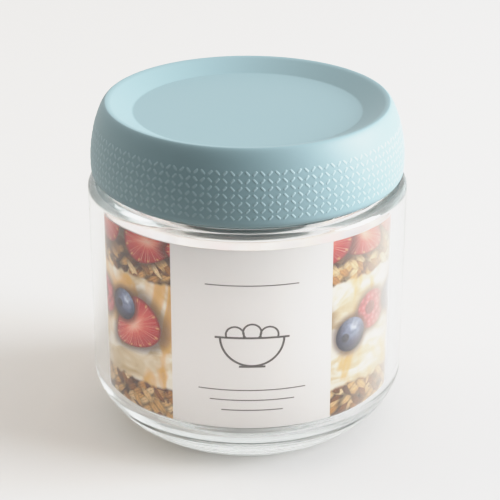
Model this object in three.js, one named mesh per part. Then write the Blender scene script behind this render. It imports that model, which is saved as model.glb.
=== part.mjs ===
// A glass food pot: a thick clear pot, a soft matt lid pressed over its neck, and a printed card
// sleeve that lines the wall inside. Millimetres, +Z up. The origin is the middle of the base, on
// the surface that the pot stands on, and every piece is turned about the Z axis.
import * as THREE from "three";

// Steps round the axis, alike for all pieces so that facing walls stay parallel.
const ROUND_STEPS = 72;
// Steps along the curves of a profile: shoulders and floor corner, the two large soft ones, and small ones.
const CURVE_STEPS = 7;
const HEEL_STEPS = 9;
const DOME_STEPS = 12;
const SMALL_STEPS = 4;
const QUARTER = Math.PI / 2;

// Pot: straight wall, rounded heel, tight shoulder with a narrow ledge, plain neck under the lid.
const POT_RADIUS = 44.1;
const WALL = 3.8;
const WALL_TOP = 69;
const HEEL_WIDTH = 13;
const HEEL_HEIGHT = 15;
const HEEL_FULLNESS = 1.5;
const FOOT_RING_WIDTH = 3;
const PUNT_DEPTH = 1.2;
const FLOOR_TOP = 8;
const FLOOR_CORNER = 8;
const SHOULDER_WIDTH = 2.2;
const SHOULDER_RISE = 2;
const LEDGE_RISE = 0.2;
const INNER_SHOULDER_TOP = 72.5;
const INNER_SHOULDER_RISE = 4.5;
const NECK_RADIUS = 39.6;
const NECK_WALL = 3.4;
const BRIM_TOP = 87.5;
const BRIM_EDGE = 1.2;

// Lid: domed skirt, rounded crest, slope down to a flat disc, plain socket over the neck.
const LID_RADIUS = 43;
const LID_BOTTOM = 72.4;
const LID_TOP = 93;
const LID_EDGE = 2.2;
const SOCKET_EDGE = 0.5;
const DOME_START = 78.2;
const DOME_FULLNESS = 1.55;
const CREST_ROUND = 4;
const CREST_SLOPE = THREE.MathUtils.degToRad(25);
const DISC_RADIUS = 31.3;
const DISC_TOP = 90;
const DISC_CORNER = 1.8;
const DISC_THICKNESS = 2.2;
const FIT_GAP = 0.3;

// Sleeve: a rolled card that stands in the corner of the floor.
const SLEEVE_THICKNESS = 0.4;
const SLEEVE_BOTTOM = 14.1;
const SLEEVE_TOP = 66;

const INNER_RADIUS = POT_RADIUS - WALL;
const NECK_INNER = NECK_RADIUS - NECK_WALL;
const FOOT_OUTER = POT_RADIUS - HEEL_WIDTH;
const FOOT_INNER = FOOT_OUTER - FOOT_RING_WIDTH;
const SOCKET_RADIUS = NECK_RADIUS + FIT_GAP;
// The crest stands where its slope runs down to the edge of the disc.
const SLOPE_DROP = LID_TOP - DISC_TOP - CREST_ROUND * (1 - Math.cos(CREST_SLOPE));
const SLOPE_RUN = SLOPE_DROP / Math.tan(CREST_SLOPE);
const CREST_RADIUS = DISC_RADIUS + SLOPE_RUN + CREST_ROUND * Math.sin(CREST_SLOPE);
const SLEEVE_RADIUS = INNER_RADIUS - FIT_GAP;

const point = (radius, height) => new THREE.Vector2(radius, height);

// Part of an ellipse from one angle to another, anticlockwise or clockwise as the angles run.
function arc(centre, width, height, from, to, steps = CURVE_STEPS) {
  const curve = new THREE.EllipseCurve(centre.x, centre.y, width, height, from, to, to < from);
  return curve.getPoints(steps);
}

// A quarter of a superellipse about a corner: fullness 2 is an ellipse and 1 a straight bevel.
// It runs from beside the centre to above it, or below it where height is negative.
function softQuarter(centre, width, height, fullness, steps) {
  const power = 2 / fullness;
  return Array.from({ length: steps + 1 }, (_, step) => {
    const turn = (QUARTER * step) / steps;
    const out = width * Math.cos(turn) ** power;
    const up = height * Math.sin(turn) ** power;
    return point(centre.x + out, centre.y + up);
  });
}

// A closed solid of revolution from a profile of radius and height that starts and ends on the axis
// or closes on itself, with points that fall together taken out.
function turned(profile) {
  const clean = profile.filter((p, i) => i === 0 || p.distanceTo(profile[i - 1]) > 1e-3);
  const geometry = new THREE.LatheGeometry(clean, ROUND_STEPS);
  return geometry.rotateX(QUARTER);
}

function potProfile() {
  const heelCorner = point(FOOT_OUTER, HEEL_HEIGHT);
  const heel = softQuarter(heelCorner, HEEL_WIDTH, -HEEL_HEIGHT, HEEL_FULLNESS, HEEL_STEPS);
  const shoulderCentre = point(POT_RADIUS - SHOULDER_WIDTH, WALL_TOP);
  const innerShoulderWidth = INNER_RADIUS - NECK_INNER;
  const innerShoulderStart = INNER_SHOULDER_TOP - INNER_SHOULDER_RISE;
  const outerBrim = point(NECK_RADIUS - BRIM_EDGE, BRIM_TOP - BRIM_EDGE);
  const innerBrim = point(NECK_INNER + BRIM_EDGE, BRIM_TOP - BRIM_EDGE);
  return [
    ...arc(point(0, 0), FOOT_INNER, PUNT_DEPTH, QUARTER, 0, SMALL_STEPS),
    ...heel.reverse(),
    ...arc(shoulderCentre, SHOULDER_WIDTH, SHOULDER_RISE, 0, QUARTER),
    point(NECK_RADIUS, WALL_TOP + SHOULDER_RISE + LEDGE_RISE),
    ...arc(outerBrim, BRIM_EDGE, BRIM_EDGE, 0, QUARTER, SMALL_STEPS),
    ...arc(innerBrim, BRIM_EDGE, BRIM_EDGE, QUARTER, 2 * QUARTER, SMALL_STEPS),
    ...arc(point(NECK_INNER, innerShoulderStart), innerShoulderWidth, INNER_SHOULDER_RISE, QUARTER, 0),
    ...arc(
      point(INNER_RADIUS - FLOOR_CORNER, FLOOR_TOP + FLOOR_CORNER),
      FLOOR_CORNER,
      FLOOR_CORNER,
      0,
      -QUARTER,
    ),
    point(0, FLOOR_TOP),
  ];
}

function lidProfile() {
  const dome = softQuarter(
    point(CREST_RADIUS, DOME_START),
    LID_RADIUS - CREST_RADIUS,
    LID_TOP - DOME_START,
    DOME_FULLNESS,
    DOME_STEPS,
  );
  const crestCentre = point(CREST_RADIUS, LID_TOP - CREST_ROUND);
  const edgeCentre = point(LID_RADIUS - LID_EDGE, LID_BOTTOM + LID_EDGE);
  const cornerReach = DISC_CORNER * Math.tan(CREST_SLOPE / 2);
  const cornerCentre = point(DISC_RADIUS - cornerReach, DISC_TOP + DISC_CORNER);
  return [
    point(0, DISC_TOP - DISC_THICKNESS),
    point(SOCKET_RADIUS, DISC_TOP - DISC_THICKNESS),
    point(SOCKET_RADIUS, LID_BOTTOM + SOCKET_EDGE),
    point(SOCKET_RADIUS + SOCKET_EDGE, LID_BOTTOM),
    ...arc(edgeCentre, LID_EDGE, LID_EDGE, -QUARTER, 0, SMALL_STEPS),
    ...dome,
    ...arc(crestCentre, CREST_ROUND, CREST_ROUND, QUARTER, QUARTER + CREST_SLOPE, SMALL_STEPS),
    ...arc(cornerCentre, DISC_CORNER, DISC_CORNER, CREST_SLOPE - QUARTER, -QUARTER, SMALL_STEPS),
    point(0, DISC_TOP),
  ];
}

function sleeveProfile() {
  const inner = SLEEVE_RADIUS - SLEEVE_THICKNESS;
  return [
    point(inner, SLEEVE_BOTTOM),
    point(SLEEVE_RADIUS, SLEEVE_BOTTOM),
    point(SLEEVE_RADIUS, SLEEVE_TOP),
    point(inner, SLEEVE_TOP),
    point(inner, SLEEVE_BOTTOM),
  ];
}

function mesh(name, profile, look) {
  const made = new THREE.Mesh(turned(profile), new THREE.MeshStandardMaterial(look));
  made.name = name;
  return made;
}

const clearGlass = { color: 0xeaf2f0, roughness: 0.04, metalness: 0, transparent: true, opacity: 0.3 };
const softBlue = { color: 0xa9c8d2, roughness: 0.6, metalness: 0 };
const whiteCard = { color: 0xf3f0ee, roughness: 0.7, metalness: 0 };

const foodPot = new THREE.Group();
foodPot.add(
  mesh("pot", potProfile(), clearGlass),
  mesh("lid", lidProfile(), softBlue),
  mesh("sleeve", sleeveProfile(), whiteCard),
);

export default foodPot;
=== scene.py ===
import math

import bpy
import numpy as np
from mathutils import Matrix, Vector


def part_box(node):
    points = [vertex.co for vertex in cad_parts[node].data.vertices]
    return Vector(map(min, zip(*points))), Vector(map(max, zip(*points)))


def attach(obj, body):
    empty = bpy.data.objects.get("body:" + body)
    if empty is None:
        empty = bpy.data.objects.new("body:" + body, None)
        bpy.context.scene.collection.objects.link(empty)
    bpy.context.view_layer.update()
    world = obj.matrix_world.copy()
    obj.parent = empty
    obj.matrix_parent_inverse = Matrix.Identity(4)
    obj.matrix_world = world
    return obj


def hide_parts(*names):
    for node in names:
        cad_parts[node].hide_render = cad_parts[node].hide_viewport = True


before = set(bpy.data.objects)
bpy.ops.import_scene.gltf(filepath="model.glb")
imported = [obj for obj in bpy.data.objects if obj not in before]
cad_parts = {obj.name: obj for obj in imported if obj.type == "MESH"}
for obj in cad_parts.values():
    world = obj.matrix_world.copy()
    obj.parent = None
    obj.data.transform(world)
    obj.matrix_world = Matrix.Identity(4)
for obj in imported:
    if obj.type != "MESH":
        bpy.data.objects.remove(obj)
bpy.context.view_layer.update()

bl_info = {
    "name": "Glass food pot",
    "version": (1, 0, 0),
    "blender": (4, 5, 0),
    "location": "View3D > Sidebar > Food pot",
    "description": "Clear glass pot with a soft blue lid and a printed card sleeve inside",
    "category": "Add Mesh",
}

MM = 0.001
POT_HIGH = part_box("pot")[1]
LID_LOW, LID_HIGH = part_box("lid")
SLEEVE_LOW, SLEEVE_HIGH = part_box("sleeve")
QUARTER = math.pi / 2
IMAGE_SIDE = 500


# Properties


def number(description, default, **more):
    """A plain number."""
    return bpy.props.FloatProperty(description=description, default=default, **more)


def length(description, millimetres):
    """A size in millimetres, which shows in the scene's length unit."""
    return number(description, millimetres * MM, unit="LENGTH", precision=5)


def angle(description, degrees):
    """An angle, given in degrees."""
    return number(description, math.radians(degrees), unit="ROTATION")


def triple(description, default, **more):
    """Three numbers that belong together."""
    return bpy.props.FloatVectorProperty(description=description, default=default, **more)


def position(description, metres):
    """A point, given in metres."""
    return triple(description, metres, unit="LENGTH", subtype="XYZ")


def linear(code):
    """Scene-linear red, green and blue of a display colour code such as 0xA9C8D2."""
    parts = ((code >> 16) & 255, (code >> 8) & 255, code & 255)
    return tuple(
        c / 255 / 12.92 if c / 255 <= 0.04045 else ((c / 255 + 0.055) / 1.055) ** 2.4 for c in parts
    )


def colour(description, code):
    """A colour swatch with a display colour code as its default."""
    return triple(description, linear(code), subtype="COLOR", min=0, max=1)


class PotSizes(bpy.types.PropertyGroup):
    """Sizes of the glass pot."""

    radius: length("Outside of the straight wall", POT_HIGH.x / MM)
    brim_top: length("Top of the neck, under the lid", POT_HIGH.z / MM)
    wall: length("Thickness of the straight wall", 3.8)
    wall_top: length("Where the shoulder starts", 69)
    heel_width: length("How far the heel draws in", 13)
    heel_height: length("Where the straight wall starts", 15)
    heel_fullness: number("2 is an ellipse, 1 a bevel", 1.5)
    foot_ring: length("Width of the flat ring it stands on", 3)
    punt_depth: length("Hollow under the base", 1.2)
    floor_top: length("Top of the thick base inside", 8)
    floor_corner: length("Rounding between floor and wall", 8)
    shoulder_width: length("How far the rounded shoulder draws in", 2.2)
    shoulder_rise: length("Height of the rounded shoulder", 2)
    ledge_rise: length("Rise of the ledge between shoulder and neck", 0.2)
    inner_top: length("Where the inner shoulder meets the neck", 72.5)
    inner_rise: length("Height of the inner shoulder", 4.5)
    neck_radius: length("Outside of the neck", 39.6)
    neck_wall: length("Thickness of the neck", 3.4)
    brim_edge: length("Rounding of the brim", 1.2)
    ripple: length("Height of the faint pressed rings round the heel", 0.03)
    ripple_pitch: length("From ring to ring", 2.3)


class LidSizes(bpy.types.PropertyGroup):
    """Sizes of the lid and of its raised lattice."""

    radius: length("Widest part of the skirt", LID_HIGH.x / MM)
    bottom: length("Lower edge", LID_LOW.z / MM)
    top: length("Crest", LID_HIGH.z / MM)
    edge: length("Rounding of the lower edge", 2.2)
    dome_start: length("Where the skirt starts to draw in", 78.2)
    dome_fullness: number("2 is an ellipse, 1 a bevel", 1.55)
    crest_round: length("Radius of the crest", 4)
    crest_slope: angle("Slope from the crest down to the disc", 25)
    disc_radius: length("Flat disc in the middle", 31.3)
    disc_depth: length("Disc below the crest", 3)
    disc_corner: length("Rounding round the disc", 1.8)
    disc_thickness: length("Plate under the disc", 2.2)
    socket: length("Radius of the socket over the neck", 39.9)
    lip: length("Bevel at the mouth of the socket", 0.5)
    lattice_bottom: length("Middle of the lowest row of dashes", 75.7)
    lattice_pitch: length("From row to row", 1.91)
    dash_length: length("End to end", 1.6)
    dash_width: length("Across the foot", 0.75)
    dash_rise: length("Height over the skirt", 0.08)


class SleeveSizes(bpy.types.PropertyGroup):
    """Sizes of the card sleeve, and of the fields of its print."""

    radius: length("Printed face", SLEEVE_HIGH.x / MM)
    bottom: length("Lower edge", SLEEVE_LOW.z / MM)
    top: length("Upper edge", SLEEVE_HIGH.z / MM)
    thickness: length("Thickness of the card", 0.35)
    overlap: length("How far the ends overlap at the back", 9)
    tuck: angle("Turn over which the inner end comes back out", 8)
    panel_half: length("From the middle of the panel to its edge", 21.4)
    panel_middle: length("How far its middle lies round from the front", 1.2)


class Finishes(bpy.types.PropertyGroup):
    """Colours of the materials and of the print, and how thin the card is."""

    glass: colour("Tint of the clear glass", 0xFDFEFE)
    # Partly the tint of the thick glass, partly painted shade of the table under the pot, seen down through
    # the floor.
    base_tint_and_shade: colour("Tint of the thick base, seen from above", 0x9AA8AA)
    lid: colour("Soft matt plastic", 0x87A4AB)
    # The dashes' lighter tone is painted light, for the lamp catching their raised tops; they are no
    # smoother than the skirt.
    dash: colour("Smoother tops of the raised dashes", 0x9DB9C0)
    card: colour("White card", 0xF4F2F1)
    card_thin: number("Share of the light that passes the bare side", 0.42)
    print_thin: number("Share of the light that passes the printed side", 0.62)
    ink: colour("Grey ink on the panel", 0x55504E)
    cream: colour("Light of the cream layers", 0xF6EFE0)
    cream_shade: colour("Folds of the cream layers", 0xC8AE80)
    honey: colour("Runs of honey in the cream", 0xE5B052)
    oat_light: colour("Palest flakes", 0xEFD2A0)
    oat_dark: colour("Toasted flakes", 0x8A5326)
    red_fruit: colour("Skin of the red fruit", 0xB62A2C)
    red_flesh: colour("Cut face of the red fruit", 0xEE9F88)
    jam: colour("Dark jam between the flakes", 0x4E211E)
    blue_fruit: colour("Round blue berries", 0x39405F)


class StageSettings(bpy.types.PropertyGroup):
    """Camera and light."""

    distance: length("From the camera to the middle of the pot", 466)
    aim_height: length("Point on the axis that the camera looks at", 47.9)
    elevation: angle("Camera above the horizontal", 24)
    focal_pixels: number("Focal length in pixels of the square picture", 1650)
    axis_offset: number("Pixels that the pot stands left of the middle", 2.5)
    table_half: length("From the middle of the table to its edge", 3000)
    key_place: position("Where the soft light on the right hangs", (1.415, -0.1, 0.54))
    key_power: number("Watts of the soft light on the right", 50)
    fill_place: position("Where the warm light on the left hangs", (-0.9, 0.3, 0.5))
    fill_power: number("Watts of the warm light on the left", 4)
    glow_power: number("Watts of the lamps inside that shine through the card", 0.108)
    back_bright: number("Brightness behind the pot", 1.2)
    glass_bright: number("Least brightness of the room as the glass shows it", 0.9)
    front_bright: number("Brightness on the camera's side", 0.0)


GROUPS = {
    "pot_sizes": PotSizes,
    "lid_sizes": LidSizes,
    "sleeve_sizes": SleeveSizes,
    "pot_finishes": Finishes,
    "pot_stage": StageSettings,
}


# Surfaces

# Steps round the axis, and along the curves of the profiles.
POT_ROUND_STEPS = 256
LID_ROUND_STEPS = 280
SLEEVE_STEPS = 360
HEEL_STEPS = 120
DOME_STEPS = 48
SHOULDER_STEPS = 24
PUNT_STEPS = 16
EDGE_STEPS = 12
CREST_STEPS = 10
BRIM_STEPS = 8
CORNER_STEPS = 6
# Edges that turn by more than this stay sharp.
SHARP_ANGLE = math.radians(50)


def arc(centre, width, height, start, end, steps):
    """Part of an ellipse: centre plus (width cos t, height sin t) for t from start to end."""
    t = np.linspace(start, end, steps + 1)
    return np.column_stack([centre[0] + width * np.cos(t), centre[1] + height * np.sin(t)])


def soft_quarter(centre, width, height, fullness, steps):
    """Quarter of a superellipse: cosine and sine raised to 2 / fullness, so 2 gives an ellipse."""
    t = np.linspace(0, QUARTER, steps + 1)
    power = 2 / fullness
    out = np.clip(np.cos(t), 0, 1) ** power
    up = np.clip(np.sin(t), 0, 1) ** power
    return np.column_stack([centre[0] + width * out, centre[1] + height * up])


def tidy_profile(*runs):
    """The runs joined into one profile, without points that fall together."""
    points = np.concatenate([np.atleast_2d(np.asarray(run, float)) for run in runs])
    apart = np.linalg.norm(np.diff(points, axis=0), axis=1) > 1e-7
    return points[np.concatenate([[True], apart])]


def cylinder_points(r, a, z):
    """Points at radius r, angle a and height z: (r cos a, r sin a, z)."""
    return np.stack(np.broadcast_arrays(r * np.cos(a), r * np.sin(a), z), axis=-1)


def turned(profile, steps):
    """Surface of revolution: the profile point (r, h) goes to (r cos a, r sin a, h) at equal angles a.

    The profile starts and ends on the axis, so the surface closes in a fan at each pole. It runs
    from the underside up the outside, which makes the faces point outwards.
    """
    a = np.linspace(0, 2 * math.pi, steps, endpoint=False)
    ring = profile[1:-1]
    r, h = ring[:, :1], ring[:, 1:]
    round_points = cylinder_points(r, a, h).reshape(-1, 3)
    poles = np.array([[0, 0, profile[0, 1]], [0, 0, profile[-1, 1]]])
    verts = np.concatenate([round_points, poles])
    row = np.arange(len(ring) - 1)[:, None] * steps
    here = np.arange(steps)[None, :]
    there = (here + 1) % steps
    quads = np.stack(
        [row + here, row + there, row + steps + there, row + steps + here], axis=-1
    ).reshape(-1, 4)
    first, last = len(round_points), len(round_points) + 1
    top_row = (len(ring) - 1) * steps
    fan_low = np.column_stack([np.full(steps, first), there[0], here[0]])
    fan_high = np.column_stack([top_row + here[0], top_row + there[0], np.full(steps, last)])
    return verts, quads.tolist() + fan_low.tolist() + fan_high.tolist()


def add_piece(name, verts, faces, materials, node=None):
    """A smooth mesh object that rides on the pot and, where a node is named, stands for it."""
    mesh = bpy.data.meshes.new(name)
    mesh.from_pydata(np.asarray(verts).tolist(), [], faces)
    if mesh.validate():
        raise RuntimeError(name + " has faulty faces")
    mesh.shade_smooth()
    mesh.set_sharp_from_angle(angle=SHARP_ANGLE)
    for material in materials:
        mesh.materials.append(material)
    piece = bpy.data.objects.new(name, mesh)
    bpy.context.scene.collection.objects.link(piece)
    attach(piece, "root")
    if node:
        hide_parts(node)
    return piece


def rippled(run, rise, pitch):
    """A profile with faint rings.

    At a length l along it, the profile moves outwards by rise sin(2 pi l / pitch), fading to none at
    both ends by a half wave of the whole length.
    """
    way = np.gradient(run, axis=0)
    way /= np.linalg.norm(way, axis=1, keepdims=True)
    steps = np.linalg.norm(np.diff(run, axis=0), axis=1)
    along = np.concatenate([[0], np.cumsum(steps)])
    wave = rise * np.sin(2 * math.pi * along / pitch) * np.sin(math.pi * along / along[-1])
    return run + wave[:, None] * np.column_stack([way[:, 1], -way[:, 0]])


def pot_profile(s):
    """Outline of the glass, from the middle of the underside over the brim to the middle of the floor."""
    inner = s.radius - s.wall
    neck_inner = s.neck_radius - s.neck_wall
    foot = s.radius - s.heel_width
    brim = s.brim_top - s.brim_edge
    shoulder = (s.radius - s.shoulder_width, s.wall_top)
    inner_start = s.inner_top - s.inner_rise
    corner = (inner - s.floor_corner, s.floor_top + s.floor_corner)
    edge = s.brim_edge
    heel = soft_quarter((foot, s.heel_height), s.heel_width, -s.heel_height, s.heel_fullness, HEEL_STEPS)
    return tidy_profile(
        arc((0, 0), foot - s.foot_ring, s.punt_depth, QUARTER, 0, PUNT_STEPS),
        rippled(heel[::-1], s.ripple, s.ripple_pitch),
        arc(shoulder, s.shoulder_width, s.shoulder_rise, 0, QUARTER, SHOULDER_STEPS),
        (s.neck_radius, s.wall_top + s.shoulder_rise + s.ledge_rise),
        arc((s.neck_radius - edge, brim), edge, edge, 0, QUARTER, BRIM_STEPS),
        arc((neck_inner + edge, brim), edge, edge, QUARTER, 2 * QUARTER, BRIM_STEPS),
        arc((neck_inner, inner_start), inner - neck_inner, s.inner_rise, QUARTER, 0, SHOULDER_STEPS),
        arc(corner, s.floor_corner, s.floor_corner, 0, -QUARTER, SHOULDER_STEPS),
        (0, s.floor_top),
    )


def crest_radius(s):
    """Radius of the crest, so that its slope runs down to the edge of the disc."""
    drop = s.disc_depth - s.crest_round * (1 - math.cos(s.crest_slope))
    run = drop / math.tan(s.crest_slope)
    return s.disc_radius + run + s.crest_round * math.sin(s.crest_slope)


def skirt_profile(s):
    """Outside of the lid's skirt, from its lower edge up to the crest."""
    crest = crest_radius(s)
    rise = s.top - s.dome_start
    return tidy_profile(
        arc((s.radius - s.edge, s.bottom + s.edge), s.edge, s.edge, -QUARTER, 0, EDGE_STEPS),
        soft_quarter((crest, s.dome_start), s.radius - crest, rise, s.dome_fullness, DOME_STEPS),
    )


def lid_profile(s):
    """Outline of the lid, from the middle of its ceiling round the skirt to the middle of the disc."""
    disc_top = s.top - s.disc_depth
    ceiling = disc_top - s.disc_thickness
    crest = (crest_radius(s), s.top - s.crest_round)
    reach = s.disc_corner * math.tan(s.crest_slope / 2)
    corner = (s.disc_radius - reach, disc_top + s.disc_corner)
    return tidy_profile(
        (0, ceiling),
        (s.socket, ceiling),
        (s.socket, s.bottom + s.lip),
        (s.socket + s.lip, s.bottom),
        skirt_profile(s),
        arc(crest, s.crest_round, s.crest_round, QUARTER, QUARTER + s.crest_slope, CREST_STEPS),
        arc(corner, s.disc_corner, s.disc_corner, s.crest_slope - QUARTER, -QUARTER, CORNER_STEPS),
        (0, disc_top),
    )


LATTICE_ROWS = 7
LATTICE_COLUMNS = 138
# Where the grid of a dash has its lines, along it and across it, from end to end and side to side.
DASH_ALONG = (-1, -0.9, -0.65, -0.3, 0, 0.3, 0.65, 0.9, 1)
DASH_ACROSS = (-1, -0.62, 0, 0.62, 1)
# How deep the rim of a dash is sunk into the skirt, as a share of its rise.
SUNK_SHARE = 0.3


def lattice_surface(s):
    """Raised dashes on the skirt, turned half a right angle one way and the other as a broken lattice.

    Each dash is a pad on a grid of s along it and t across it, both from -1 to 1. Its half width
    falls off as 1 - 0.6 s^8 and its height as (1 - t^4)(1 - s^10), sunk a little at the rim so that
    it grows out of the skirt. The pad is laid on the skirt by angle and height, and a fan from its
    rim to a root below its middle closes it underneath.
    """
    sgrid, tgrid = np.meshgrid(DASH_ALONG, DASH_ACROSS, indexing="ij")
    x = sgrid * s.dash_length / 2
    y = tgrid * s.dash_width / 2 * (1 - 0.6 * sgrid**8)
    sunk = SUNK_SHARE * s.dash_rise
    rise = (s.dash_rise + sunk) * (1 - tgrid**4) * (1 - sgrid**10) - sunk
    column, row = np.meshgrid(np.arange(LATTICE_COLUMNS), np.arange(LATTICE_ROWS), indexing="ij")
    turn = np.where((column + row) % 2 == 0, 1.0, -1.0).reshape(-1, 1, 1) * math.pi / 4
    middle = (column.reshape(-1, 1, 1) + 0.5) * 2 * math.pi / LATTICE_COLUMNS
    level = s.lattice_bottom + row.reshape(-1, 1, 1) * s.lattice_pitch
    z = level + x * np.sin(turn) + y * np.cos(turn)
    skirt = skirt_profile(s)
    r = np.interp(z, skirt[:, 1], skirt[:, 0])
    a = middle + (x * np.cos(turn) - y * np.sin(turn)) / r
    pads = cylinder_points(r + rise, a, z).reshape(len(turn), -1, 3)
    roots = cylinder_points(np.interp(level, skirt[:, 1], skirt[:, 0]) - 2 * sunk, middle, level)
    verts = np.concatenate([pads, roots.reshape(-1, 1, 3)], axis=1)

    rows, columns = sgrid.shape
    index = np.arange(rows * columns).reshape(rows, columns)
    quads = np.stack([index[:-1, :-1], index[1:, :-1], index[1:, 1:], index[:-1, 1:]], axis=-1)
    rim = np.concatenate([index[0, :-1], index[:-1, -1], index[-1, :0:-1], index[:0:-1, 0]])
    fan = np.column_stack([rim, np.roll(rim, -1), np.full(len(rim), index.size)])
    start = np.arange(len(turn))[:, None, None] * (index.size + 1)
    tops = (start + quads.reshape(1, -1, 4)).reshape(-1, 4)
    undersides = (start + fan[None]).reshape(-1, 3)
    return verts.reshape(-1, 3), tops.tolist() + undersides.tolist()


# How far the inner end of the card lies inside the outer one, in thicknesses of the card.
TUCK_DEPTH = 1.15
# Bevel of the card's edges, in thicknesses of the card.
CARD_BEVEL = 0.25


def sleeve_surface(s):
    """A card strip rolled into a tube: a flat section carried round the axis, past a full turn.

    The angle runs from half the overlap short of the back to half the overlap past it. The first end
    lies inside the last one: its radius is less by TUCK_DEPTH thicknesses, and comes back over the tuck
    by a smooth step, 3 u^2 - 2 u^3.
    Faces of the printed side come first, then the white rest and the two ends.
    """
    lap = s.overlap / s.radius
    half_turn = math.pi + lap / 2
    a = np.linspace(-half_turn, half_turn, SLEEVE_STEPS + 1)
    inside = np.clip((-half_turn + lap + s.tuck - a) / s.tuck, 0, 1)
    step = TUCK_DEPTH * s.thickness * inside * inside * (3 - 2 * inside)
    round_off = CARD_BEVEL * s.thickness
    outer, inner = 0.0, -s.thickness
    section = np.array(
        [
            (outer, s.bottom + round_off),
            (outer, s.top - round_off),
            (outer - round_off, s.top),
            (inner + round_off, s.top),
            (inner, s.top - round_off),
            (inner, s.bottom + round_off),
            (inner + round_off, s.bottom),
            (outer - round_off, s.bottom),
        ]
    )
    r = s.radius - step[:, None] + section[None, :, 0]
    verts = cylinder_points(r, a[:, None] - QUARTER, section[None, :, 1]).reshape(-1, 3)
    count = len(section)
    here = np.arange(SLEEVE_STEPS)[:, None] * count
    side = np.arange(count)[None, :]
    after = (side + 1) % count
    quads = np.stack([here + side, here + count + side, here + count + after, here + after], axis=-1)
    printed = quads[:, 0]
    plain = quads[:, 1:].reshape(-1, 4)
    first_end = np.arange(count)
    last_end = SLEEVE_STEPS * count + first_end[::-1]
    faces = printed.tolist() + plain.tolist() + [first_end.tolist(), last_end.tolist()]
    return verts, faces, len(printed)


# Material tools


def opaque(shade):
    """A full colour from a display colour code, or from red, green and blue."""
    return (*(linear(shade) if isinstance(shade, int) else shade), 1)


class Graph:
    """Short calls that add nodes to one tree and link them. A value is a number, a colour or a socket."""

    # Vector operations that give a number.
    MEASURES = ("LENGTH", "DISTANCE", "DOT_PRODUCT")

    def __init__(self, tree):
        self.tree = tree

    def feed(self, socket, value):
        """Links a socket to a value, or sets it to one."""
        if isinstance(value, bpy.types.NodeSocket):
            self.tree.links.new(value, socket)
        elif socket.type == "RGBA":
            socket.default_value = opaque(value)
        else:
            socket.default_value = value

    def feed_all(self, sockets, values):
        for socket, value in zip(sockets, values):
            self.feed(socket, value)

    def node(self, kind, inputs=None, **settings):
        """A new node with these settings, and with these inputs by name or number."""
        made = self.tree.nodes.new("ShaderNode" + kind)
        for key, value in settings.items():
            setattr(made, key, value)
        for key, value in (inputs or {}).items():
            self.feed(made.inputs[key], value)
        return made

    def math(self, operation, *values):
        made = self.node("Math", operation=operation)
        self.feed_all(made.inputs, values)
        return made.outputs[0]

    def times(self, first, *others):
        """Product of numbers."""
        for other in others:
            first = self.math("MULTIPLY", first, other)
        return first

    def reach(self, x, y):
        """Length of a flat vector from its two parts."""
        return self.math("SQRT", self.math("ADD", self.times(x, x), self.times(y, y)))

    def vector(self, operation, *values):
        """A vector from vectors, or a number where the operation measures one."""
        made = self.node("VectorMath", operation=operation)
        self.feed_all(made.inputs, values)
        return made.outputs["Value" if operation in self.MEASURES else "Vector"]

    def split(self, place):
        """The three parts of a vector."""
        return self.node("SeparateXYZ", {0: place}).outputs

    def fade(self, value, low, high, start=0.0, end=1.0):
        """Smooth step from start at low to end at high."""
        made = self.node("MapRange", interpolation_type="SMOOTHSTEP")
        self.feed_all(made.inputs, (value, low, high, start, end))
        return made.outputs[0]

    def mix(self, factor, under, over, blend="MIX"):
        """Colour over another by a factor from 0 to 1."""
        made = self.node("Mix", data_type="RGBA", blend_type=blend)
        for key, value in ((0, factor), (6, under), (7, over)):
            self.feed(made.inputs[key], value)
        return made.outputs[2]

    def ramp(self, value, *stops):
        """Colours at places from 0 to 1, with straight blends between them."""
        made = self.node("ValToRGB", {0: value})
        points = made.color_ramp.elements
        while len(points) < len(stops):
            points.new(0.5)
        for point, (place, shade) in zip(points, stops):
            point.position = place
            point.color = opaque(shade)
        return made.outputs[0]

    def spot(self, along, up):
        """A vector from two flat coordinates."""
        return self.node("CombineXYZ", {0: along, 1: up}).outputs[0]

    def grey(self, value):
        """A grey of that value."""
        return self.node("CombineColor", {0: value, 1: value, 2: value}).outputs[0]

    def noise(self, place, scale, detail=2.0, distortion=0.0):
        inputs = {"Vector": place, "Scale": scale, "Detail": detail, "Distortion": distortion}
        return self.node("TexNoise", inputs).outputs["Fac"]

    def group(self, name, inputs):
        """The outputs of a node group with these inputs."""
        made = self.node("Group", node_tree=bpy.data.node_groups[name])
        for key, value in inputs.items():
            self.feed(made.inputs[key], value)
        return made.outputs


SOCKETS = {"value": "NodeSocketFloat", "colour": "NodeSocketColor", "vector": "NodeSocketVector"}
COLOUR_OUT = {"Colour": "colour"}


def new_group(name, inputs, outputs=COLOUR_OUT):
    """An empty shader node group with named sockets: its graph, its input sockets and its end sockets."""
    tree = bpy.data.node_groups.new(name, "ShaderNodeTree")
    for side, wanted in (("INPUT", inputs), ("OUTPUT", outputs)):
        for key, kind in wanted.items():
            tree.interface.new_socket(name=key, in_out=side, socket_type=SOCKETS[kind])
    start = tree.nodes.new("NodeGroupInput")
    end = tree.nodes.new("NodeGroupOutput")
    return Graph(tree), start.outputs, end.inputs


def new_material(name):
    """An empty node material: itself, its graph and the sockets of its output node."""
    material = bpy.data.materials.new(name)
    material.use_nodes = True
    material.node_tree.nodes.clear()
    graph = Graph(material.node_tree)
    return material, graph, graph.node("OutputMaterial").inputs


def object_place(g):
    """Where a point lies on its piece, in metres."""
    return g.node("TexCoord").outputs["Object"]


def grain_group():
    """Fine moulded or fibrous grain: two noises in millimetres, out as a height and a slow drift."""
    g, given, end = new_group(
        "Fine grain", {"Place": "vector", "Grain": "value"}, {"Height": "value", "Drift": "value"}
    )
    place = g.vector("MULTIPLY", given["Place"], (1 / MM, 1 / MM, 1 / MM))
    g.feed(end["Height"], g.noise(place, given["Grain"], 3))
    g.feed(end["Drift"], g.noise(place, 0.06, 2))


# Print on the card

CARD_SOCKETS = {"Along": "value", "Up": "value"}


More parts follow.
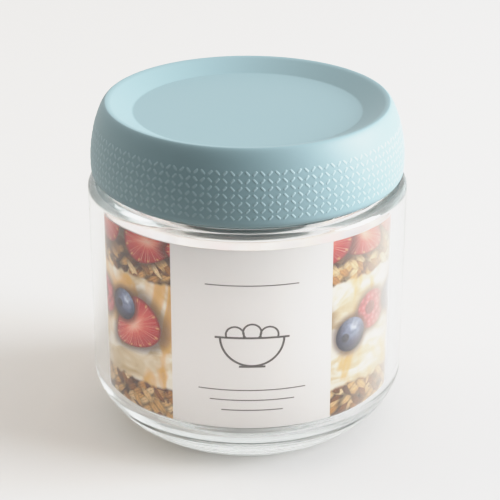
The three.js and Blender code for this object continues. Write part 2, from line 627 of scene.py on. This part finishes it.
def card_place_group(s):
    """Where a point lies on the rolled card, in millimetres: along it from the front, and up it."""
    g, given, end = new_group("Place on card", {"Place": "vector"}, CARD_SOCKETS)
    parts = g.split(given["Place"])
    turn = g.math("ARCTAN2", parts[0], g.times(parts[1], -1.0))
    g.feed(end["Along"], g.times(turn, s.radius / MM))
    g.feed(end["Up"], g.times(g.math("SUBTRACT", parts[2], s.bottom), 1 / MM))


# Two layers of flakes: turn, width for length, and cells to a millimetre.
FLAKE_LAYERS = ((0.6, 0.5, 0.27), (-0.8, 0.42, 0.2))


def flake_cells(g, along, up, turn, width, scale):
    """Cells of toasted flakes, stretched and turned: how far from the middle, random colour and crease."""
    place = g.node(
        "Mapping",
        {"Vector": g.spot(along, up), "Rotation": (0, 0, turn), "Scale": (1, width, 1)},
        vector_type="TEXTURE",
    ).outputs[0]
    cells = g.node("TexVoronoi", {"Vector": place, "Scale": scale}, voronoi_dimensions="2D").outputs
    across = g.math("ABSOLUTE", g.split(g.vector("SUBTRACT", place, cells["Position"]))[1])
    return cells["Distance"], cells["Color"], g.fade(across, 0.0, 0.45, 0.62, 1.0)


def oats_group(f):
    """Toasted oats: two layers of flakes with pale middles and dark gaps, and dark jam on the lower one."""
    g, given, end = new_group("Toasted oats", CARD_SOCKETS)
    along, up = given["Along"], given["Up"]
    grain = g.fade(g.noise(g.spot(along, up), 1.6, 3), 0.2, 0.7, 0.72, 1.12)
    layers = []
    for turn, width, scale in FLAKE_LAYERS:
        away, chance, crease = flake_cells(g, along, up, turn, width, scale)
        pick = g.node("SeparateColor", {0: chance}).outputs
        tone = g.ramp(
            pick[0],
            (0.0, 0x5A3318),
            (0.2, f.oat_dark),
            (0.45, 0xBB8241),
            (0.75, 0xDDAE6C),
            (1.0, f.oat_light),
        )
        shade = g.times(g.fade(away, 0.75, 0.15, 0.28, 1.15), grain, crease)
        layers.append((g.mix(1.0, tone, g.grey(shade), "MULTIPLY"), away, pick[1]))
    lower, (upper, away, chance) = layers[0][0], layers[1]
    jam = g.fade(g.noise(g.spot(along, up), 0.17, 2, 0.6), 0.56, 0.64, 0.0, 0.8)
    on_top = g.times(g.math("GREATER_THAN", chance, 0.4), g.fade(away, 0.55, 0.45))
    g.feed(end["Colour"], g.mix(on_top, g.mix(jam, lower, f.jam), upper))


def cream_group(f):
    """Spooned cream: soft folds from a bent noise, with runs of honey down it."""
    g, given, end = new_group("Spooned cream", CARD_SOCKETS)
    along, up = given["Along"], given["Up"]
    tone = g.ramp(
        g.noise(g.spot(g.times(along, 0.6), up), 0.13, 3, 1.6),
        (0.28, f.cream_shade),
        (0.44, 0xE0CEAC),
        (0.56, f.cream),
        (0.72, 0xFBF7EF),
    )
    run = g.noise(g.spot(along, g.times(up, 0.4)), 0.12, 2, 0.7)
    honey = g.mix(g.fade(run, 0.6, 0.72), f.honey, 0xD39A3F)
    g.feed(end["Colour"], g.mix(g.fade(run, 0.5, 0.63, 0.0, 0.85), tone, honey))


FRUIT_SOCKETS = {
    "Under": "colour",
    **CARD_SOCKETS,
    **dict.fromkeys(("Middle along", "Middle up", "Size", "Turn"), "value"),
}


def fruit_frame(g, given):
    """Coordinates turned and scaled to one fruit, whose edge then lies about 1 from its middle."""
    dx = g.math("DIVIDE", g.math("SUBTRACT", given["Along"], given["Middle along"]), given["Size"])
    dy = g.math("DIVIDE", g.math("SUBTRACT", given["Up"], given["Middle up"]), given["Size"])
    cosine, sine = g.math("COSINE", given["Turn"]), g.math("SINE", given["Turn"])
    x = g.math("ADD", g.times(dx, cosine), g.times(dy, sine))
    y = g.math("SUBTRACT", g.times(dy, cosine), g.times(dx, sine))
    return x, y


def lay_fruit(g, given, end, away, tone):
    """Lays a fruit over what is under it, with a soft dark pool of juice round its edge."""
    pool = g.fade(away, 1.45, 0.98, 0.0, 0.8)
    shaded = g.mix(pool, given["Under"], 0x4A2016)
    g.feed(end["Colour"], g.mix(g.fade(away, 1.0, 0.95), shaded, tone))


# Shape of the pale core of a halved fruit, against that of the fruit.
CORE_NARROW = math.sqrt(1.9)
CORE_LONG = math.sqrt(0.75)
# Fibres and seeds round a halved fruit, to a radian.
FIBRES = 15.0
SEEDS = 15.0


def turn_noise(g, turn, scale):
    """Noise that changes with the angle alone."""
    inputs = {"W": g.times(turn, scale), "Scale": 1.0, "Detail": 2.0}
    return g.node("TexNoise", inputs, noise_dimensions="1D").outputs["Fac"]


def red_fruit_group(f):
    """Halved red fruit: a tapered oval with a pale core, fine fibres outwards and a seeded skin."""
    g, given, end = new_group("Halved red fruit", FRUIT_SOCKETS)
    x, y = fruit_frame(g, given)
    taper = g.math("MAXIMUM", g.math("MULTIPLY_ADD", y, 0.3, 0.72), 0.3)
    wide = g.math("DIVIDE", x, taper)
    away = g.reach(wide, y)
    turn = g.math("ARCTAN2", wide, y)
    core = g.reach(g.times(wide, CORE_NARROW), g.times(y, CORE_LONG))
    bend = g.math("SUBTRACT", turn_noise(g, turn, 3.5), 0.5)
    flesh = g.ramp(
        g.math("MULTIPLY_ADD", bend, 0.45, core),
        (0.03, 0xF0BDA6),
        (0.2, f.red_flesh),
        (0.45, 0xD9584E),
        (0.75, 0xC23234),
        (0.95, f.red_fruit),
    )
    between = g.times(g.fade(away, 0.2, 0.55), g.fade(away, 0.97, 0.85))
    fibre = g.times(g.fade(turn_noise(g, turn, FIBRES), 0.5, 0.68), between, 0.5)
    flesh = g.mix(fibre, flesh, 0xF2B5A0)
    flesh = g.mix(g.fade(away, 0.86, 0.97), flesh, 0x8E1C22)
    beat = g.math("POWER", g.math("MAXIMUM", g.math("SINE", g.times(turn, SEEDS)), 0.0), 6.0)
    seeds = g.times(beat, g.fade(away, 0.8, 0.86), g.fade(away, 0.96, 0.9), 0.7)
    lay_fruit(g, given, end, away, g.mix(seeds, flesh, 0xE6B878))


def blue_fruit_group(f):
    """Round blue berry: dark at the rim, with a pale bloom, a wet gleam and a small dark crown."""
    g, given, end = new_group("Blue berry", FRUIT_SOCKETS)
    spot = g.spot(*fruit_frame(g, given))
    away = g.vector("LENGTH", spot)
    from_light = g.vector("DISTANCE", spot, (0.3, 0.4, 0))
    from_crown = g.vector("DISTANCE", spot, (-0.38, -0.05, 0))
    mottle = g.noise(spot, 3.0, 3)
    bloom = g.times(g.fade(from_light, 1.1, 0.1), g.fade(mottle, 0.3, 0.65, 0.4, 1.0))
    gleam = g.times(g.fade(from_light, 0.34, 0.12), g.fade(mottle, 0.35, 0.6, 0.3, 0.85))
    tone = g.mix(g.fade(away, 0.5, 1.0), f.blue_fruit, 0x1D2036)
    tone = g.mix(bloom, tone, 0x93A3C6)
    tone = g.mix(gleam, tone, 0xDCE6F4)
    tone = g.mix(g.fade(from_crown, 0.32, 0.2, 0.0, 0.85), tone, 0x171A2C)
    lay_fruit(g, given, end, away, tone)


def cluster_fruit_group():
    """Red cluster berry: small round beads with bright middles and dark gaps, round a hollow."""
    g, given, end = new_group("Cluster berry", FRUIT_SOCKETS)
    spot = g.spot(*fruit_frame(g, given))
    away = g.vector("LENGTH", spot)
    from_hollow = g.vector("DISTANCE", spot, (-0.1, 0.12, 0))
    inputs = {"Vector": spot, "Scale": 3.2, "Randomness": 0.6}
    cells = g.node("TexVoronoi", inputs, voronoi_dimensions="2D").outputs
    tone = g.ramp(
        cells["Distance"],
        (0.0, 0xF0A0A0),
        (0.22, 0xDC4A58),
        (0.55, 0xB52440),
        (0.8, 0x6E1024),
    )
    tone = g.mix(g.fade(away, 0.55, 1.0, 0.0, 0.5), tone, 0x8A1A30)
    tone = g.mix(g.fade(from_hollow, 0.42, 0.3, 0.0, 0.85), tone, 0x5E1220)
    lay_fruit(g, given, end, away, tone)


# Rows of fruit on each half of the print: kind, how many, first middle along, middle up, size and turn.
# Lengths are in millimetres, and later rows lie over earlier ones.
FRUIT_ROWS = (
    ("Cluster berry", 3, 38.0, 28.5, 5.4, 0.4),
    ("Halved red fruit", 3, 10.5, 26.0, 10.2, -0.6),
    ("Blue berry", 3, 29.0, 23.5, 5.0, 0.2),
    ("Blue berry", 3, 4.0, 29.5, 4.7, -0.3),
    ("Halved red fruit", 4, 3.0, 50.5, 9.0, 1.3),
    ("Halved red fruit", 4, 18.5, 51.5, 9.2, -1.4),
)
# How far chance moves a fruit in millimetres and turns it, and how it spreads its size.
FRUIT_SHIFT = 1.5
FRUIT_SWING = 0.35
FRUIT_SMALLEST, FRUIT_SPREAD = 0.93, 0.14


def fruit_row(g, under, along, up, half_round, row):
    """One fruit in each of a row's equal cells, with its own small shift, size and turn."""
    kind, count, first, height, size, turn = row
    width = half_round / count
    cell = g.math("MULTIPLY_ADD", along, 1 / width, 0.5 - first / width)
    index = g.math("FLOORED_MODULO", g.math("FLOOR", cell), float(count))
    seed = g.math("ADD", index, first)
    chance = g.node("TexWhiteNoise", {"W": seed}, noise_dimensions="1D").outputs["Color"]
    pick = g.node("SeparateColor", {0: chance}).outputs
    inputs = {
        "Under": under,
        "Along": g.math("MULTIPLY_ADD", g.math("FRACT", cell), width, -width / 2),
        "Up": up,
        "Middle along": g.math("MULTIPLY_ADD", pick[0], 2 * FRUIT_SHIFT, -FRUIT_SHIFT),
        "Middle up": g.math("MULTIPLY_ADD", pick[1], 2 * FRUIT_SHIFT, height - FRUIT_SHIFT),
        "Size": g.math("MULTIPLY_ADD", pick[2], FRUIT_SPREAD * size, FRUIT_SMALLEST * size),
        "Turn": g.math("MULTIPLY_ADD", pick[0], 2 * FRUIT_SWING, turn - FRUIT_SWING),
    }
    return g.group(kind, inputs)["Colour"]


# Heights between which the oats come and go, and the span of their wavy edge, in millimetres.
LOW_OATS_END = (9.0, 7.8)
HIGH_OATS_START = (38.6, 39.8)
HIGH_OATS_END = (49.5, 48.5)
OATS_WANDER = 5.0
# Where along the card painted light pales the print on the right, the side towards the key light, and comes
# back, and how much.
LIGHT_WASH_START = (20.0, 44.0)
LIGHT_WASH_END = (90.0, 60.0)
LIGHT_WASH_SHARE = 0.4


def layered_picture(g, along, up, half_round):
    """Oats, cream and rows of fruit, the same on both halves of the card, with painted light paling the
    right side.
    """
    folded = g.math("WRAP", along, half_round, 0.0)
    wander = g.math("SUBTRACT", g.noise(g.spot(folded, 0.0), 0.16, 2), 0.5)
    level = g.math("MULTIPLY_ADD", wander, OATS_WANDER, up)
    place = {"Along": folded, "Up": up}
    oats = g.group("Toasted oats", place)["Colour"]
    cream = g.group("Spooned cream", place)["Colour"]
    high_oats = g.times(g.fade(level, *HIGH_OATS_START), g.fade(level, *HIGH_OATS_END))
    picture = g.mix(g.math("MAXIMUM", g.fade(level, *LOW_OATS_END), high_oats), cream, oats)
    for row in FRUIT_ROWS:
        picture = fruit_row(g, picture, folded, up, half_round, row)
    # Painted light: the print washes pale on the side towards the key light.
    pale = g.times(g.fade(along, *LIGHT_WASH_START), g.fade(along, *LIGHT_WASH_END), LIGHT_WASH_SHARE)
    return g.mix(pale, picture, 0xFBF3E6)


def card_print(g, s, f, place):
    """The whole print: the picture round the card, and the white panel with its grey sign in front."""
    where = g.group("Place on card", {"Place": place})
    along, up = where["Along"], where["Up"]
    picture = layered_picture(g, along, up, math.pi * s.radius / MM)
    across = g.math("SUBTRACT", along, s.panel_middle / MM)
    on_panel = g.math("LESS_THAN", g.math("ABSOLUTE", across), s.panel_half / MM)
    panel = g.mix(panel_sign(g, across, up), f.card, f.ink)
    return g.mix(on_panel, picture, panel)


def bar(g, along, up, height, half_length, half_thick):
    """Mask of a level line."""
    in_length = g.math("LESS_THAN", g.math("ABSOLUTE", along), half_length)
    in_height = g.math("LESS_THAN", g.math("ABSOLUTE", g.math("SUBTRACT", up, height)), half_thick)
    return g.times(in_length, in_height)


def ring(g, along, up, middle, radius, half_thick):
    """Mask of a thin circle."""
    away = g.vector("DISTANCE", g.spot(along, up), (*middle, 0))
    return g.math("LESS_THAN", g.math("ABSOLUTE", g.math("SUBTRACT", away, radius)), half_thick)


# The sign in millimetres: half widths of lines, the bowl, its berries, and rules as height and half length.
SIGN_LINE, BERRY_LINE, RULE_LINE = 0.3, 0.26, 0.16
BOWL_RIM, BOWL_RADIUS, RIM_HALF = 27.0, 8.2, 9.6
FOOT_DROP, FOOT_HALF = 8.4, 3.4
BERRY_RADIUS = 2.3
BERRY_PLACES = ((-4.4, 0.9), (0, 1.7), (4.4, 0.9))
RULES = ((42, 12), (11.5, 14), (8.5, 11), (5.5, 8))


def panel_sign(g, along, up):
    """Grey sign on the panel: a bowl with round berries between level lines, as a mask."""
    below_rim = g.math("LESS_THAN", up, BOWL_RIM)
    above_rim = g.math("GREATER_THAN", up, BOWL_RIM)
    marks = [
        g.times(ring(g, along, up, (0, BOWL_RIM), BOWL_RADIUS, SIGN_LINE), below_rim),
        bar(g, along, up, BOWL_RIM, RIM_HALF, SIGN_LINE),
        bar(g, along, up, BOWL_RIM - FOOT_DROP, FOOT_HALF, SIGN_LINE),
    ]
    for aside, over in BERRY_PLACES:
        berry = ring(g, along, up, (aside, BOWL_RIM + over), BERRY_RADIUS, BERRY_LINE)
        marks.append(g.times(berry, above_rim))
    marks += [bar(g, along, up, height, half, RULE_LINE) for height, half in RULES]
    total = marks[0]
    for mark in marks[1:]:
        total = g.math("MAXIMUM", total, mark)
    return total


# Materials

# Where the thick base starts, by height and by distance from the axis, and where its upper part does.
BASE_HEIGHTS = (12 * MM, 8 * MM)
BASE_RADII = (34 * MM, 29 * MM)
FLOOR_HEIGHTS = (5 * MM, 7 * MM)


def glass_material(f):
    """Clear pressed glass: faint tint in the depth, slow waves in the surface, lamps let through, and
    painted shade in the thick base.
    """
    material, g, out = new_material("Clear glass")
    place = object_place(g)
    grain = g.group("Fine grain", {"Place": place, "Grain": 0.12})
    bump = g.node("Bump", {"Strength": 0.02, "Distance": 0.4 * MM, "Height": grain["Height"]})
    parts = g.split(place)
    from_axis = g.vector("LENGTH", g.spot(parts[0], parts[1]))
    low = g.fade(parts[2], *BASE_HEIGHTS)
    in_base = g.times(low, g.fade(from_axis, *BASE_RADII))
    on_floor = g.times(in_base, g.fade(parts[2], *FLOOR_HEIGHTS))
    glass = g.node(
        "BsdfPrincipled",
        {
            # The top of the floor is darkened: glass tint and painted shade of the table under the pot.
            "Base Color": g.mix(on_floor, f.glass, f.base_tint_and_shade),
            "Roughness": 0.0,
            "IOR": 1.5,
            "Transmission Weight": 1.0,
            "Normal": bump.outputs[0],
        },
    )
    # Lamp light through the glass: a little less at the heel and much less through the base, painted shade
    # that darkens the table under the pot.
    passed = g.mix(in_base, g.mix(low, 0xF2F2F1, 0xE8E8E6), 0x808988)
    through = g.node("BsdfTransparent", {"Color": passed})
    path = g.node("LightPath").outputs
    from_lamp = g.math("MAXIMUM", path["Is Shadow Ray"], path["Is Diffuse Ray"])
    both = g.node("MixShader", {0: from_lamp, 1: glass.outputs[0], 2: through.outputs[0]})
    g.feed(out["Surface"], both.outputs[0])
    depth = g.node("VolumeAbsorption", {"Color": (0.76, 0.81, 0.81), "Density": 10.0})
    g.feed(out["Volume"], depth.outputs[0])
    return material


def matt_shader(g, place, tone, grain, strength, depth, roughness, sheen):
    """Matt surface with a fine grain, which also makes it more and less rough."""
    height = g.group("Fine grain", {"Place": place, "Grain": grain})["Height"]
    bump = g.node("Bump", {"Strength": strength, "Distance": depth, "Height": height})
    inputs = {
        "Base Color": tone,
        "Roughness": g.fade(height, 0.2, 0.8, *roughness),
        "Specular IOR Level": sheen,
        "Normal": bump.outputs[0],
    }
    return g.node("BsdfPrincipled", inputs).outputs[0]


def plastic_material(name, base):
    """Soft matt plastic: slow drift of tone, fine moulded grain and a slight sheen."""
    material, g, out = new_material(name)
    place = object_place(g)
    drift = g.group("Fine grain", {"Place": place})["Drift"]
    tone = g.mix(g.fade(drift, 0.35, 0.65, 0.0, 0.05), base, 0x7C9FA9)
    plastic = matt_shader(
        g, place, tone, grain=3.5, strength=0.12, depth=0.05 * MM, roughness=(0.46, 0.58), sheen=0.4
    )
    g.feed(out["Surface"], plastic)
    return material


def card_shader(g, out, tone, place, thin):
    """Smooth card with a faint fibre, which lets a share of the light through."""
    card = matt_shader(
        g, place, tone, grain=2.2, strength=0.1, depth=0.04 * MM, roughness=(0.5, 0.62), sheen=0.3
    )
    glow = g.node("BsdfTranslucent", {"Color": tone})
    both = g.node("MixShader", {0: thin, 1: card, 2: glow.outputs[0]})
    g.feed(out["Surface"], both.outputs[0])


def print_material(s, f):
    """Printed side of the card."""
    material, g, out = new_material("Printed card")
    place = object_place(g)
    card_shader(g, out, card_print(g, s, f, place), place, f.print_thin)
    return material


def card_material(f):
    """Bare white side and edges of the card."""
    material, g, out = new_material("White card")
    place = object_place(g)
    grain = g.group("Fine grain", {"Place": place, "Grain": 0.9})
    tone = g.mix(g.fade(grain["Height"], 0.3, 0.7, 0.0, 0.12), f.card, 0xE6E0D8)
    card_shader(g, out, tone, place, f.card_thin)
    return material


# Where the table dims, from the pot towards the camera.
TABLE_DIMS = (-80 * MM, -200 * MM)


def table_material():
    """Pale matt table top that throws less light back from in front of the pot."""
    material, g, out = new_material("Pale table")
    place = object_place(g)
    grain = g.group("Fine grain", {"Place": place, "Grain": 0.5})
    tone = g.mix(g.fade(grain["Drift"], 0.3, 0.7, 0.0, 0.06), 0xD5D5D5, 0xCFCDCA)
    in_front = g.fade(g.split(place)[1], *TABLE_DIMS)
    dim = g.times(in_front, g.node("LightPath").outputs["Is Diffuse Ray"])
    tone = g.mix(dim, tone, 0x2A2929)
    shader = g.node(
        "BsdfPrincipled", {"Base Color": tone, "Roughness": 0.75, "Specular IOR Level": 0.2}
    )
    g.feed(out["Surface"], shader.outputs[0])
    return material


# Operators


class PieceOperator:
    """What the operators share: they undo in one step and need nothing selected."""

    bl_options = {"REGISTER", "UNDO"}

    def execute(self, context):
        self.make(context.scene)
        return {"FINISHED"}


class FOODPOT_OT_shared(PieceOperator, bpy.types.Operator):
    """Make the node groups that the materials share"""

    bl_idname = "food_pot.shared"
    bl_label = "Shared finishes"

    def make(self, scene):
        grain_group()
        card_place_group(scene.sleeve_sizes)
        oats_group(scene.pot_finishes)
        cream_group(scene.pot_finishes)
        red_fruit_group(scene.pot_finishes)
        blue_fruit_group(scene.pot_finishes)
        cluster_fruit_group()


class FOODPOT_OT_pot(PieceOperator, bpy.types.Operator):
    """Turn the clear glass pot"""

    bl_idname = "food_pot.pot"
    bl_label = "Glass pot"

    def make(self, scene):
        verts, faces = turned(pot_profile(scene.pot_sizes), POT_ROUND_STEPS)
        add_piece("glass_pot", verts, faces, [glass_material(scene.pot_finishes)], "pot")


class FOODPOT_OT_lid(PieceOperator, bpy.types.Operator):
    """Turn the lid and lay its raised lattice"""

    bl_idname = "food_pot.lid"
    bl_label = "Lid"

    def make(self, scene):
        plastic = plastic_material("Soft blue plastic", scene.pot_finishes.lid)
        # The dashes take a lighter copy of the plastic: painted light where the lamp catches them.
        raised = plastic_material("Raised blue plastic with painted light", scene.pot_finishes.dash)
        verts, faces = turned(lid_profile(scene.lid_sizes), LID_ROUND_STEPS)
        add_piece("soft_lid", verts, faces, [plastic], "lid")
        verts, faces = lattice_surface(scene.lid_sizes)
        add_piece("lid_lattice", verts, faces, [raised])


class FOODPOT_OT_sleeve(PieceOperator, bpy.types.Operator):
    """Roll the printed card sleeve"""

    bl_idname = "food_pot.sleeve"
    bl_label = "Card sleeve"

    def make(self, scene):
        verts, faces, printed = sleeve_surface(scene.sleeve_sizes)
        printed_side = print_material(scene.sleeve_sizes, scene.pot_finishes)
        bare_side = card_material(scene.pot_finishes)
        piece = add_piece(
            "card_sleeve", verts, faces, [printed_side, bare_side], "sleeve"
        )
        side = (np.arange(len(faces)) >= printed).astype(np.int32)
        piece.data.polygons.foreach_set("material_index", side)


# Stage

# Sides of the two soft lights, and tints of all lights and of the room.
KEY_SIZE = (0.9, 0.9)
FILL_SIZE = (0.8, 0.6)
KEY_TINT = (0.97, 0.985, 1)
FILL_TINT = (1, 0.77, 0.5)
GLOW_TINT = (1, 0.965, 0.955)
ROOM_TINT = (1.0, 0.985, 0.965)
# Where the lamps inside the pot hang on its axis, and their size.
GLOW_HEIGHTS = (19 * MM, 56 * MM)
GLOW_RADIUS = 10 * MM
# Towards the bright side of the room, and where along that way it brightens.
ROOM_FACING = (0.15, 0.7, 0.55)
ROOM_FADE = (-0.6, 0.7)
# The thick glass needs many bounces of light.
LIGHT_BOUNCES = 48


def add_light(name, place, aim, size, power, tint):
    """A soft rectangular light at a place, turned to an aim."""
    lamp = bpy.data.lights.new(name, "AREA")
    lamp.shape = "RECTANGLE"
    lamp.size, lamp.size_y = size
    lamp.energy = power
    lamp.color = tint
    light = bpy.data.objects.new(name, lamp)
    direction = np.subtract(aim, place)
    light.location = place
    light.rotation_euler = (
        math.atan2(math.hypot(direction[0], direction[1]), -direction[2]),
        0,
        math.atan2(direction[1], direction[0]) - QUARTER,
    )
    bpy.context.scene.collection.objects.link(light)
    return light


def light_only(light, piece):
    """Keeps a light to one piece."""
    lit = bpy.data.collections.new(light.name + "_lights")
    lit.objects.link(piece)
    light.light_linking.receiver_collection = lit


def add_glow(s, card):
    """Small lamps inside the pot that light only the card, for the light that comes through it."""
    for k, height in enumerate(GLOW_HEIGHTS):
        lamp = bpy.data.lights.new("inner_glow_%d" % k, "POINT")
        lamp.energy = s.glow_power / len(GLOW_HEIGHTS)
        lamp.color = GLOW_TINT
        lamp.shadow_soft_size = GLOW_RADIUS
        glow = bpy.data.objects.new(lamp.name, lamp)
        glow.location = (0, 0, height)
        glow.visible_camera = glow.visible_transmission = glow.visible_glossy = False
        bpy.context.scene.collection.objects.link(glow)
        light_only(glow, card)


def add_camera(s):
    """Camera in front, tilted down to the aim point, with the pot a little left of the middle."""
    lens = bpy.data.cameras.new("camera")
    lens.sensor_fit = "HORIZONTAL"
    lens.lens = s.focal_pixels / IMAGE_SIDE * lens.sensor_width
    lens.shift_x = s.axis_offset / IMAGE_SIDE
    lens.clip_start = 10 * MM
    camera = bpy.data.objects.new("camera", lens)
    camera.location = (
        0,
        -s.distance * math.cos(s.elevation),
        s.aim_height + s.distance * math.sin(s.elevation),
    )
    camera.rotation_euler = (QUARTER - s.elevation, 0, 0)
    bpy.context.scene.collection.objects.link(camera)
    bpy.context.scene.camera = camera


# Brightness in the scene, and the brightness that it shows with.
TONES = ((0.0, 0.0), (0.5, 0.5), (0.8, 0.74), (1.0, 0.84), (1.4, 0.91), (2.0, 0.94))


def soften_highlights(view):
    """Plain display, with a curve that rolls the brightest tones off as a camera does."""
    view.view_transform = "Standard"
    view.look = "None"
    view.use_curve_mapping = True
    mapping = view.curve_mapping
    widest = TONES[-1][0]
    mapping.white_level = (widest, widest, widest)
    points = mapping.curves[3].points
    while len(points) < len(TONES):
        points.new(0.5, 0.5)
    for point, (bright, shown) in zip(points, TONES):
        point.location = (bright / widest, shown)
    mapping.update()


def add_surround(s):
    """White room, bright behind the pot and dim on the camera's side."""
    world = bpy.data.worlds.new("white_room")
    world.use_nodes = True
    g = Graph(world.node_tree)
    facing = g.vector("DOT_PRODUCT", g.node("TexCoord").outputs["Generated"], ROOM_FACING)
    lit = g.fade(facing, *ROOM_FADE, s.front_bright, s.back_bright)
    in_glass = g.times(g.node("LightPath").outputs["Is Transmission Ray"], s.glass_bright)
    back = world.node_tree.nodes["Background"].inputs
    g.feed(back["Color"], ROOM_TINT)
    g.feed(back["Strength"], g.math("MAXIMUM", lit, in_glass))
    bpy.context.scene.world = world


def add_table(s):
    """A flat square table top under the pot."""
    half = s.table_half
    corners = [(-half, -half, 0), (half, -half, 0), (half, half, 0), (-half, half, 0)]
    mesh = bpy.data.meshes.new("table")
    mesh.from_pydata(corners, [], [(0, 1, 2, 3)])
    mesh.materials.append(table_material())
    table = bpy.data.objects.new("table", mesh)
    bpy.context.scene.collection.objects.link(table)
    return table


class FOODPOT_OT_stage(PieceOperator, bpy.types.Operator):
    """Lay the table, hang the lights and set the camera"""

    bl_idname = "food_pot.stage"
    bl_label = "Stage"

    def make(self, scene):
        s = scene.pot_stage
        table = add_table(s)
        aim = (0, 0, s.aim_height)
        add_light("key_light", s.key_place, aim, KEY_SIZE, s.key_power, KEY_TINT)
        fill = add_light("warm_fill", s.fill_place, aim, FILL_SIZE, s.fill_power, FILL_TINT)
        light_only(fill, table)
        add_glow(s, bpy.data.objects["card_sleeve"])
        add_surround(s)
        add_camera(s)
        soften_highlights(scene.view_settings)
        path = scene.cycles
        path.use_denoising = True
        path.max_bounces = path.glossy_bounces = path.transmission_bounces = LIGHT_BOUNCES


OPERATORS = (
    FOODPOT_OT_shared,
    FOODPOT_OT_pot,
    FOODPOT_OT_lid,
    FOODPOT_OT_sleeve,
    FOODPOT_OT_stage,
)


class FOODPOT_PT_panel(bpy.types.Panel):
    """Lists the pieces and their sizes"""

    bl_idname = "FOODPOT_PT_panel"
    bl_label = "Glass food pot"
    bl_space_type = "VIEW_3D"
    bl_region_type = "UI"
    bl_category = "Food pot"

    def draw(self, context):
        for operator in OPERATORS:
            self.layout.operator(operator.bl_idname)
        for key, group in GROUPS.items():
            box = self.layout.box()
            box.label(text=group.__doc__)
            for name in group.__annotations__:
                label = name.replace("_", " ").capitalize()
                box.prop(getattr(context.scene, key), name, text=label)


CLASSES = (*GROUPS.values(), *OPERATORS, FOODPOT_PT_panel)


def register():
    for item in CLASSES:
        bpy.utils.register_class(item)
    for key, group in GROUPS.items():
        setattr(bpy.types.Scene, key, bpy.props.PointerProperty(type=group))


def unregister():
    for key in GROUPS:
        delattr(bpy.types.Scene, key)
    for item in reversed(CLASSES):
        bpy.utils.unregister_class(item)


def main():
    register()
    bpy.ops.food_pot.shared()
    bpy.ops.food_pot.pot()
    bpy.ops.food_pot.lid()
    bpy.ops.food_pot.sleeve()
    bpy.ops.food_pot.stage()


if __name__ == "__main__":
    main()
